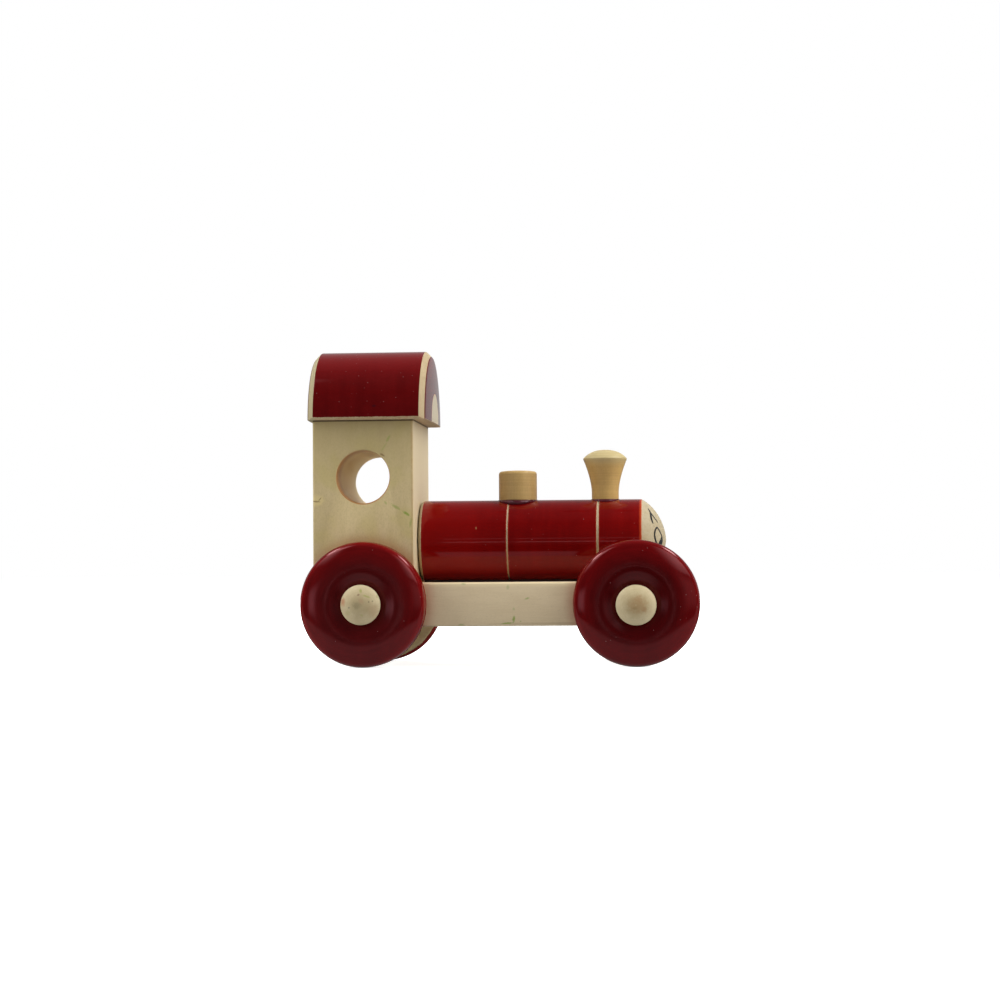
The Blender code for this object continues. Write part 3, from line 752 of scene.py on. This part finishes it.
def add_barrel():
    outline = [(radius, height - nose_flattening(radius))
               for radius, height in cap_arc(BARREL_RADIUS, BARREL_SHOULDER, BARREL_SHOULDER_FROM_TIP, 28)]
    edge = len(outline) - 1
    easing = {edge: 0.35 * MM}
    for place, width in reversed(RINGS):
        first = len(outline)
        outline += [
            (BARREL_RADIUS, place + width / 2), (BARREL_RADIUS - RING_DEPTH, place + 0.15 * MM),
            (BARREL_RADIUS - RING_DEPTH, place - 0.15 * MM), (BARREL_RADIUS, place - width / 2),
        ]
        easing.update({first: 0.2 * MM, first + 3: 0.2 * MM})
    first = len(outline)
    outline += [(BARREL_RADIUS, BARREL_REAR + BARREL_CHAMFER),
                (BARREL_RADIUS - BARREL_CHAMFER, BARREL_REAR), (0.0, BARREL_REAR)]
    easing.update({first: 0.2 * MM, first + 1: 0.2 * MM})
    mesh = turned("boiler_turning", ease(outline, easing), BARREL_STEPS)
    add_piece("boiler_turning", mesh, barrel_finish(),
              location=(0, 0, BARREL_AXIS), rotation=ALONG_X, replaces=["boiler"])


def on_nose(side, out, above):
    """The point of the nose that lies out from the middle and above the axis, with room for the ink."""
    rise = BARREL_SHOULDER_FROM_TIP
    radius = (BARREL_RADIUS ** 2 + rise ** 2) / (2 * rise)
    height = math.sqrt((radius + INK_THICKNESS) ** 2 - out ** 2 - above ** 2)
    height -= nose_flattening(math.hypot(out, above))
    return Vector((BARREL_TIP - radius + height, side * out, BARREL_AXIS + above))


def ink_stroke(shape, side, points, closed=False):
    """A brush stroke that follows the points; it thins out towards its ends unless it is closed."""
    path = through([Vector(point) * MM for point in points], 8, closed)
    rows = []
    for index, point in enumerate(path):
        if closed:
            ahead = path[(index + 1) % len(path)] - path[index - 1]
        else:
            ahead = path[min(index + 1, len(path) - 1)] - path[max(index - 1, 0)]
        across = Vector((-ahead.y, ahead.x)).normalized()
        share = index / (len(path) - 1)
        width = STROKE_WIDTH * (1.0 if closed else min(1.0, 0.35 + 5 * share, 0.35 + 5 * (1 - share)))
        width *= 1.0 + 0.12 * math.sin(9 * share + len(points))
        rows.append([shape.verts.new(on_nose(side, *(point + across * width * offset)))
                     for offset in (-0.5, 0.0, 0.5)])
    skin(shape, rows + rows[:1] if closed else rows)


def ink_patch(shape, side, edges):
    """Ink laid between two edges."""
    first, second = (through([Vector(point) * MM for point in edge], 5) for edge in edges)
    across = 6
    skin(shape, [[shape.verts.new(on_nose(side, *start.lerp(end, step / across))) for step in range(across + 1)]
                 for start, end in zip(first, second)])


def add_face():
    """Two plain painted eyes with a forked brow stroke above each."""
    material = ink_finish()
    for name, side in (("right", -1), ("left", 1)):
        shape = bmesh.new()
        ink_stroke(shape, side, BROW)
        ink_stroke(shape, side, BROW_BRANCH)
        ink_stroke(shape, side, EYE, closed=True)
        ink_patch(shape, side, PUPIL_EDGES)
        for face in shape.faces:
            face.normal_update()
            if face.normal.x < 0:
                face.normal_flip()
        name = f"nose_ink_{name}"
        add_piece(name, as_mesh(shape, name, smooth=True), material)


def add_glue_line():
    """The line of glue and lacquer that fills the narrow gap between the barrel and the plank."""
    ends = (BARREL_REAR + 1.2 * MM, BARREL_SHOULDER - 0.6 * MM)
    half_width, overlap, across, along_count = 4.2 * MM, 0.08 * MM, 12, 60
    shape = bmesh.new()
    rows = []
    for step in range(along_count + 1):
        x = ends[0] + (ends[1] - ends[0]) * step / along_count
        reach = half_width * (1.0 + 0.06 * math.sin(2.1 * step) + 0.04 * math.sin(0.7 * step))
        upper, lower = [], []
        for column in range(across + 1):
            y = reach * (2 * column / across - 1)
            barrel = BARREL_AXIS - math.sqrt(BARREL_RADIUS ** 2 - y ** 2)
            upper.append(shape.verts.new((x, y, barrel + overlap)))
            lower.append(shape.verts.new((x, y, PLANK_HIGH.z - overlap)))
        rows.append(upper + lower[::-1])
    skin(shape, rows, closed=True)
    shape.faces.new(rows[0])
    shape.faces.new(rows[-1][::-1])
    finish = Finish("glue_line_finish")
    material = finish.finish(lacquer(finish, *GLUE_RED, finish.x, seed=17.0), 0.3)
    add_piece("barrel_glue_line", finished(shape, "barrel_glue_line"), material)


def add_seat_bead(name, place, radius):
    """The bead of glue and lacquer where a turned piece stands on the barrel, thicker at the barrel's sides."""
    around, count = 96, 10
    drop = BARREL_RADIUS - math.sqrt(BARREL_RADIUS ** 2 - radius ** 2)
    shape = bmesh.new()
    rings = []
    for index in range(around):
        angle = 2 * math.pi * index / around
        outwards = Vector((math.cos(angle), math.sin(angle), 0.0))
        side = (radius - SEAT_BEAD) * outwards.y
        section = SEAT_BEAD + SEAT_BEAD_GROWTH * drop * outwards.y ** 2
        height = BARREL_AXIS + math.sqrt(BARREL_RADIUS ** 2 - side ** 2) + 1.9 * section - 1.05 * MM
        centre = Vector((place + radius * outwards.x, side, height))
        rings.append([
            shape.verts.new(centre + section * (math.cos(turn) * outwards + math.sin(turn) * Vector((0, 0, 1))))
            for turn in (2 * math.pi * step / count for step in range(count))
        ])
    skin(shape, rings + rings[:1], closed=True)
    finish = Finish(f"{name}_lacquer")
    lumps = finish.bump(finish.noise(1.5 * MM), 0.4 * MM)
    material = finish.finish(lacquer(finish, *BEAD_RED, finish.x, seed=9.0), 0.12, lumps)
    add_piece(name, finished(shape, name), material)


def add_steam_dome():
    place, top = middle("steam_dome").x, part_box("steam_dome")[1].z
    radius = size("steam_dome").x / 2
    outline = [(0.0, top), (0.55 * radius, top - 0.12 * MM), (radius, top - 0.5 * MM), (radius, BARREL_TOP)]
    outline = ease(outline + [(0.0, BARREL_TOP)], {1: 1.5 * MM, 2: 1.3 * MM, 3: 0.15 * MM}, 7)
    material = turned_wood_finish("dome_wood_finish", DOME_LIGHT, DOME_DARK, 10.0)
    add_seat_bead("steam_dome_bead", place, radius + 0.1 * MM)
    add_piece("steam_dome_turning", turned("steam_dome_turning", outline, TURNING_STEPS), material,
              location=(place, 0, 0), replaces=["steam_dome"])


def add_funnel():
    place, top = middle("funnel").x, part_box("funnel")[1].z
    lip_radius = size("funnel").x / 2
    lip = top - FUNNEL_LIP_DROP
    inner, outer = FUNNEL_CAP_POWERS
    outline = [(lip_radius * share, lip + (FUNNEL_LIP_DROP - 0.2 * MM) * (1 - share ** inner) ** outer)
               for share in (step / 24 for step in range(25))]
    edge = len(outline) - 1
    outline += curve((lip_radius, lip), FUNNEL_WAIST, (FUNNEL_NECK_RADIUS, FUNNEL_NECK_TOP), 24)
    outline += [(FUNNEL_NECK_RADIUS, BARREL_TOP), (0.0, BARREL_TOP)]
    outline = ease(outline, {edge: 0.8 * MM, len(outline) - 2: 0.15 * MM})
    material = turned_wood_finish("funnel_wood_finish", FUNNEL_LIGHT, FUNNEL_DARK, 11.0,
                                  top=(lip, FUNNEL_TOP_LIGHT, FUNNEL_TOP_DARK))
    add_seat_bead("funnel_bead", place, FUNNEL_NECK_RADIUS + 0.15 * MM)
    add_piece("funnel_turning", turned("funnel_turning", outline, TURNING_STEPS), material,
              location=(place, 0, 0), replaces=["funnel"])


def add_roof():
    """Half of a turned log, split along its axis. In the mesh, Z runs along the roof and X points down."""
    low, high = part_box("cab_roof")
    half = (high.x - low.x) / 2 - ROOF_END_BULGE
    end_radius = ROOF_RADIUS - ROOF_CHAMFER
    front = cap_arc(end_radius, half, ROOF_END_BULGE, 10)
    front.append((ROOF_RADIUS, half - ROOF_CHAMFER))
    edge = len(front) - 2
    outline = ease(front + [(radius, -height) for radius, height in reversed(front)],
                   {edge: 0.3 * MM, edge + 1: 0.35 * MM, edge + 2: 0.35 * MM, edge + 3: 0.3 * MM})
    shape = bmesh.new()
    rows = []
    for radius, height in outline:
        foot_half_width, foot_height = roof_foot(radius)
        start = math.atan2(foot_height, math.sqrt(max(radius ** 2 - foot_height ** 2, 0.0)))
        row = [shape.verts.new((0.0, foot_half_width, height))]
        for index in range(TURNING_STEPS + 1):
            angle = start + (math.pi - 2 * start) * index / TURNING_STEPS
            row.append(shape.verts.new((-radius * math.sin(angle), radius * math.cos(angle), height)))
        row.append(shape.verts.new((0.0, -foot_half_width, height)))
        rows.append(row)
    skin(shape, rows, closed=True)
    mesh = finished(shape, "roof_half_log", math.radians(30))
    add_piece("roof_half_log", mesh, roof_finish(half, end_radius),
              location=((low.x + high.x) / 2, 0, ROOF_BASE), rotation=ALONG_X, replaces=["cab_roof"])


def roof_foot(radius):
    """Half width of the flat underside at a section of this radius, and the height where its arc starts."""
    flat = ROOF_RADIUS - ROOF_FOOT
    if radius <= flat:
        return radius, 0.0
    return flat, (math.sqrt(2 * radius ** 2 - flat ** 2) - flat) / 2


def add_cab():
    """The cab's block, with the window bored through it and its rims eased."""
    hidden_top = Vector((0, 0, 0.9 * MM))     # reaches up to the roof, so that no eased edge shows under it
    mesh = block("cab_with_window", CAB_LOW, CAB_HIGH + hidden_top, 0.8 * MM)
    half = (CAB_HIGH.y - CAB_LOW.y) / 2
    rim = 0.45 * MM
    side = [(0.0, half + 1 * MM), (WINDOW_RADIUS + rim, half + 1 * MM), (WINDOW_RADIUS + rim, half)]
    side += curve((WINDOW_RADIUS + rim, half), (WINDOW_RADIUS, half), (WINDOW_RADIUS, half - rim), 4)
    bore = turned("window_bore", side + [(radius, -height) for radius, height in reversed(side)], 160)
    centre = (CAB_CENTRE, 0.0, WINDOW_HEIGHT)
    mesh = drilled(mesh, "cab_with_window", bore, centre, (math.pi / 2 + WINDOW_TILT, 0, 0))
    mesh.set_sharp_from_angle(angle=math.radians(35))
    add_piece("cab_with_window", mesh, cab_finish(), replaces=["cab_block"])


def add_plank():
    mesh = block("plank_with_eased_edges", PLANK_LOW, PLANK_HIGH, 0.9 * MM)
    add_piece("plank_with_eased_edges", mesh, plank_finish(), replaces=["chassis_plank"])


def wheel_outline():
    """Height is measured outwards from the wheel's inner face. The face dips to the hub inside its crest."""
    shoulder = arc((WHEEL_RADIUS - WHEEL_SHOULDER, WHEEL_RIM_HEIGHT), WHEEL_SHOULDER, WHEEL_SHOULDER_END, 0.0, 14)
    face, steps = [shoulder[0]], 90
    stride = (shoulder[0][0] - WHEEL_FACE_SLOPES[0][0]) / steps
    for _ in range(steps):
        radius, height = face[-1]
        slope = math.radians(between(WHEEL_FACE_SLOPES, radius - stride / 2))
        face.append((radius - stride, height + stride * math.tan(slope)))
    inner = ease([shoulder[-1], (WHEEL_RADIUS, 1.3 * MM), (WHEEL_INNER_RADIUS, 0.0), (WHEEL_BORE, 0.0)],
                 {1: 0.4 * MM, 2: 0.3 * MM})
    return [(WHEEL_BORE, face[-1][1]), *face[::-1], *shoulder[1:], *inner[1:]]


def peg_outline(blind_end):
    head_radius = size("peg_front_right").x / 2
    outline = cap_arc(head_radius, PEG_HEAD_EDGE, PEG_HEAD_HEIGHT - PEG_HEAD_EDGE, 14)
    edge = len(outline) - 1
    outline += [(head_radius - 0.5 * MM, 0.0), (PEG_RADIUS, 0.0), (PEG_RADIUS, blind_end), (0.0, blind_end)]
    return ease(outline, {edge: 0.5 * MM, edge + 1: 0.3 * MM, edge + 3: 0.6 * MM}, 5)


def add_wheels():
    finishes = {
        "front": wheel_finish("front", 0.95, 1.0, 0.78, 0.3),
        # the last number is the grey of a painted reflection
        "rear": wheel_finish("rear", 1.1, 0.95, 0.95, 0.15, 0.002),
    }
    pegs = {
        "rear_right": peg_finish("peg_wood_rear_right", 12.0, (
            (-6.9, 1.2, (1.4, 2.4), 0.0, (0.46, 0.20, 0.10), 0.8),
            (5.3, -2.0, (3.4, 4.0), 0.0, (0.44, 0.29, 0.16), 0.5),
            (0.6, 1.6, (1.5, 1.7), 0.0, (0.46, 0.30, 0.17), 0.6),
            (-1.2, -0.2, (2.6, 2.2), 0.0, (0.22, 0.18, 0.09), 0.45),
            (0.3, 5.6, (0.8, 1.2), 0.2, PEG_GREEN, 0.7),
            (2.8, 3.4, (2.2, 0.5), -0.35, PEG_GREEN, 0.6),
            (6.7, 3.3, (0.5, 1.1), 0.3, PEG_GREEN, 0.4),
            (-4.8, -3.2, (1.6, 1.4), 0.0, PEG_GREEN, 0.2),
            (0.8, -4.0, (1.0, 0.8), 0.0, PEG_GREEN, 0.3),
            (-0.5, 4.0, (0.8, 0.6), 0.5, (0.20, 0.09, 0.05), 0.7),
            (3.6, 1.2, (0.5, 0.5), 0.0, (0.10, 0.08, 0.04), 0.6),
            (5.0, 1.5, (0.5, 0.4), 0.6, (0.10, 0.07, 0.04), 0.6),
            (-4.3, -1.0, (0.6, 0.6), 0.0, (0.12, 0.12, 0.10), 0.6),
        )),
        "front_right": peg_finish("peg_wood_front_right", 13.0, (
            (0.6, 0.0, (5.6, 5.2), 0.0, (0.38, 0.22, 0.09), 0.6),
            (3.3, -1.7, (1.6, 1.7), 0.0, (0.33, 0.16, 0.06), 0.45),
            (1.2, 2.6, (1.9, 2.1), 0.0, (0.38, 0.21, 0.09), 0.4),
            (-0.3, -1.2, (1.3, 0.9), 0.0, (0.26, 0.18, 0.06), 0.4),
            (0.0, 0.0, (0.5, 0.5), 0.0, (0.50, 0.42, 0.24), 0.6),
        )),
        "rear_left": peg_finish("peg_wood_rear_left", 14.0),
        "front_left": peg_finish("peg_wood_front_left", 15.0),
    }
    for corner, peg_material in pegs.items():
        node, peg_node = f"wheel_{corner}", f"peg_{corner}"
        centre = middle(node)
        sign = 1 if centre.y > 0 else -1
        outwards = (-sign * math.pi / 2, 0.0, 0.0)
        mesh = turned(f"{node}_turning", wheel_outline(), WHEEL_STEPS, closed=True)
        end, side = corner.split("_")
        add_piece(f"{node}_turning", mesh, finishes[end], f"{end}_{side}_wheel",
                  (centre.x, sign * WHEEL_INNER_FACE, centre.z), outwards, [node])
        centre = middle(peg_node)
        low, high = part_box(peg_node)
        tip, blind = (high.y, low.y) if sign > 0 else (-low.y, -high.y)
        head_face = tip - PEG_HEAD_HEIGHT
        mesh = turned(f"{peg_node}_turning", peg_outline(blind - head_face), TURNING_STEPS)
        add_piece(f"{peg_node}_turning", mesh, peg_material, BODY,
                  (centre.x, sign * head_face, centre.z), outwards, [peg_node])


def finish_dowels():
    """The dowels are hidden in the pieces they hold together, and keep their CAD shape."""
    material = dowel_finish()
    for name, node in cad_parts.items():
        if "dowel" in name:
            for place in node.material_slots:
                place.material = material


# ---------------------------------------------------------------- studio
DIM_ROOM = 0.07                           # radiance of the room between its windows
STAGE_CENTRE = Vector((0.0, 0.0, 0.05))


def stage_mesh(name, mesh, material, seen, lit, mirrored):
    """A surface of the studio, which the camera sees, or which lights the object, or which shows in its gloss."""
    thing = placed(name, mesh)
    mesh.materials.append(material)
    thing.visible_camera, thing.visible_diffuse, thing.visible_glossy = seen, lit, mirrored
    thing.visible_shadow = thing.visible_transmission = False


def glow(name, radiance):
    """A plain glow; where the mesh has a "glow" value, that scales it."""
    material = bpy.data.materials.new(name)
    material.use_nodes = True
    nodes = material.node_tree.nodes
    nodes.remove(nodes["Principled BSDF"])
    light = nodes.new("ShaderNodeEmission")
    light.inputs["Color"].default_value = tint(radiance)
    share = nodes.new("ShaderNodeAttribute")
    share.attribute_name = "glow"
    material.node_tree.links.new(share.outputs["Fac"], light.inputs["Strength"])
    material.node_tree.links.new(light.outputs[0], nodes["Material Output"].inputs["Surface"])
    material.cycles.emission_sampling = "NONE"
    return material


def sheet(name, rows, glows=()):
    """A surface through rows of points. glows are the radiances of the points, if it glows unevenly."""
    shape = bmesh.new()
    skin(shape, [[shape.verts.new(point) for point in row] for row in rows])
    mesh = as_mesh(shape, name)
    if glows:
        mesh.attributes.new("glow", "FLOAT", "POINT").data.foreach_set("value", glows)
    return mesh


def square(name, half, height):
    return sheet(name, [[(-half, y, height), (half, y, height)] for y in (half, -half)])


def add_floor_reflection(stops):
    """The floor as the gloss shows it, from its front edge back. Stops are (y, radiance)."""
    name, half_width, height = "floor_reflection", 1.2, -0.3 * MM
    mesh = sheet(name, [[(-half_width, y, height), (half_width, y, height)] for y, _ in stops],
                 [radiance for _, radiance in stops for _ in range(2)])
    stage_mesh(name, mesh, glow(name, (1.0, 1.0, 1.0)), False, False, True)


def sky_patch(name, azimuth, stops, softness=0.0, distance=2.5, colour=(1.0, 1.0, 1.0)):
    """A piece of a large sphere round the object, seen only in its reflections.

    Azimuth is from +X, in degrees; stops are (elevation, radiance). It fades out over the softness at both sides.
    """
    steps, rows, glows = 24, [], []
    bottom, top = stops[0][0], stops[-1][0]
    faint = DIM_ROOM if softness else 0.0
    for row in range(steps + 1):
        elevation = bottom + (top - bottom) * row / steps
        height = math.radians(elevation)
        rows.append([])
        for column in range(steps + 1):
            turn = math.radians(azimuth[0] + (azimuth[1] - azimuth[0]) * column / steps)
            edge = min(1.0, min(column, steps - column) / (steps * softness)) if softness else 1.0
            glows.append(faint + between(stops, elevation) * edge * edge * (3 - 2 * edge))
            out = Vector((math.cos(height) * math.cos(turn), math.cos(height) * math.sin(turn), math.sin(height)))
            rows[-1].append(STAGE_CENTRE + out * distance)
    stage_mesh(name, sheet(name, rows, glows), glow(name, colour), False, False, True)


def soft_light(name, direction, distance, width, power):
    """A broad lamp that lights the object without showing in its gloss."""
    lamp = bpy.data.lights.new(name, "AREA")
    lamp.shape, lamp.size, lamp.energy = "DISK", width, power
    direction = Vector(direction).normalized()
    thing = placed(name, lamp, STAGE_CENTRE + direction * distance, direction.to_track_quat("Z", "Y").to_euler())
    thing.visible_camera = thing.visible_glossy = False


def fade_to_white(tree, strength):
    """The paper glows more away from the object, so that it runs into the white backdrop without an edge."""
    place = tree.nodes.new("ShaderNodeTexCoord")
    distance = tree.nodes.new("ShaderNodeVectorMath")
    distance.operation = "LENGTH"
    glowing = tree.nodes.new("ShaderNodeMapRange")
    near, far, faint, full = 0.12, 0.45, 0.8, 1.0
    for value, socket in zip((near, far, faint, full), glowing.inputs[1:]):
        socket.default_value = value
    tree.links.new(place.outputs["Object"], distance.inputs[0])
    tree.links.new(distance.outputs["Value"], glowing.inputs[0])
    tree.links.new(glowing.outputs[0], strength)


def add_backdrop():
    world = bpy.data.worlds.new("white backdrop")
    bpy.context.scene.world = world
    world.use_nodes = True
    background = world.node_tree.nodes["Background"].inputs
    background["Color"].default_value, background["Strength"].default_value = (1.0, 1.0, 1.0, 1.0), 1.0
    world.cycles_visibility.diffuse = world.cycles_visibility.glossy = False
    world.cycles_visibility.transmission = False


def matt(name, grey):
    material = bpy.data.materials.new(name)
    material.use_nodes = True
    shader = material.node_tree.nodes["Principled BSDF"]
    shader.inputs["Base Color"].default_value = (grey, grey, grey, 1.0)
    shader.inputs["Specular IOR Level"].default_value = 0.0
    return material, shader


def add_floor():
    """The floor is one sheet for the camera, one for the light it throws back, and one for the gloss."""
    paper, shader = matt("white paper", 0.9)
    shader.inputs["Roughness"].default_value = 0.9
    shader.inputs["Emission Color"].default_value = (1.0, 1.0, 1.0, 1.0)
    fade_to_white(paper.node_tree, shader.inputs["Emission Strength"])
    paper.cycles.emission_sampling = "NONE"
    stage_mesh("floor", square("floor", 6.0, -0.1 * MM), paper, True, False, False)
    bounce, _ = matt("bounce from the floor", 0.42)
    stage_mesh("floor_bounce", square("floor_bounce", 0.6, -0.2 * MM), bounce, False, True, False)
    add_floor_reflection((
        (-0.092, 0.3), (-0.078, 0.65), (-0.062, 0.6), (-0.045, 0.6), (-0.03, 0.5), (-0.01, 0.2),
        (0.03, 0.1), (1.2, 0.1),
    ))


def add_lights():
    soft_light("key", (0.66, -0.22, 0.72), 1.2, 0.9, 9.0)
    soft_light("right", (1.0, -0.05, 0.22), 1.3, 1.0, 7.5)
    soft_light("front", (0.1, -0.77, 0.62), 1.4, 1.2, 1.0)
    soft_light("low_front", (-0.25, -0.95, 0.12), 1.4, 1.2, 1.7)
    soft_light("low_right", (0.6, -0.75, 0.05), 1.3, 0.8, 0.7)
    soft_light("top", (0.0, 0.1, 1.0), 1.2, 1.4, 11.0)
    soft_light("left", (-0.9, -0.2, 0.4), 1.3, 1.2, 13.0)
    soft_light("back", (-0.1, 0.85, 0.45), 1.4, 1.2, 16.0)


def add_room():
    """What the gloss shows of the room: windows, doors, and two thin bright lines far off."""
    sky_patch("room_behind", (10, 170), ((-2, 0.45), (14, 0.40), (40, 0.26), (60, 0.20), (88, 0.14)))
    sky_patch("room_in_front", (172, 368), ((45, 0.05), (65, 0.13), (88, 0.14)))
    sky_patch("dim_room", (190, 350), ((-12, DIM_ROOM), (50, DIM_ROOM)), distance=2.7)
    sky_patch("window_left", (184, 233), ((26, 0.0), (38, 2.8), (48, 5.0), (58, 4.0), (68, 0.0)), 0.35, 0.85)
    sky_patch("window_left_high", (172, 192), ((43, 0.0), (47, 19.0), (54, 19.0), (58, 0.0)), 0.3, 0.84)
    sky_patch("door_left", (214, 238), ((-10, 0.0), (-5, 1.2), (4, 1.2), (10, 0.0)), 0.35, 0.83, (0.95, 1.0, 1.1))
    sky_patch("window_right", (292, 352), ((4, 0.0), (20, 1.2), (32, 3.0), (44, 3.0), (60, 0.0)), 0.4, 0.85)
    sky_patch("window_right_high", (-6, 38), ((43, 0.0), (48, 11.0), (56, 11.0), (60, 0.0)), 0.3, 0.84)
    sky_patch("door_right", (292, 350), ((-8, 0.0), (-2, 0.35), (12, 0.45), (20, 0.0)), 0.3, 0.83)
    sky_patch("far_line", (261, 276), ((-4.9, 0.0), (-4.4, 2.4), (-3.8, 2.4), (-3.3, 0.0)), distance=2.3)
    sky_patch("far_line_above", (261, 276), ((4.3, 0.0), (4.8, 1.4), (5.2, 1.4), (5.8, 0.0)), distance=2.2)


def add_camera():
    """Low and level with the cab's sill, a little to the front of the locomotive and turned slightly back."""
    place, yaw, pitch, roll = Vector((0.0700, -0.8625, 0.0418)), 0.0832, 0.0291, -0.007
    forward = Vector((-math.sin(yaw) * math.cos(pitch), math.cos(yaw) * math.cos(pitch), math.sin(pitch)))
    right = Vector((math.cos(yaw), math.sin(yaw), 0.0))
    up = right.cross(forward)
    turned_right = right * math.cos(roll) + up * math.sin(roll)
    turned_up = up * math.cos(roll) - right * math.sin(roll)
    lens = bpy.data.cameras.new("camera")
    lens.sensor_width, lens.lens = 36.0, 75.91
    camera = placed("camera", lens)
    axes = Matrix((turned_right, turned_up, -forward)).transposed().to_4x4()
    camera.matrix_world = Matrix.Translation(place) @ axes
    bpy.context.scene.camera = camera


add_camera()
add_backdrop()
add_floor()
add_lights()
add_room()
add_plank()
add_cab()
add_roof()
add_barrel()
add_glue_line()
add_face()
add_steam_dome()
add_funnel()
add_wheels()
finish_dowels()
bpy.context.scene.view_settings.view_transform = "Standard"
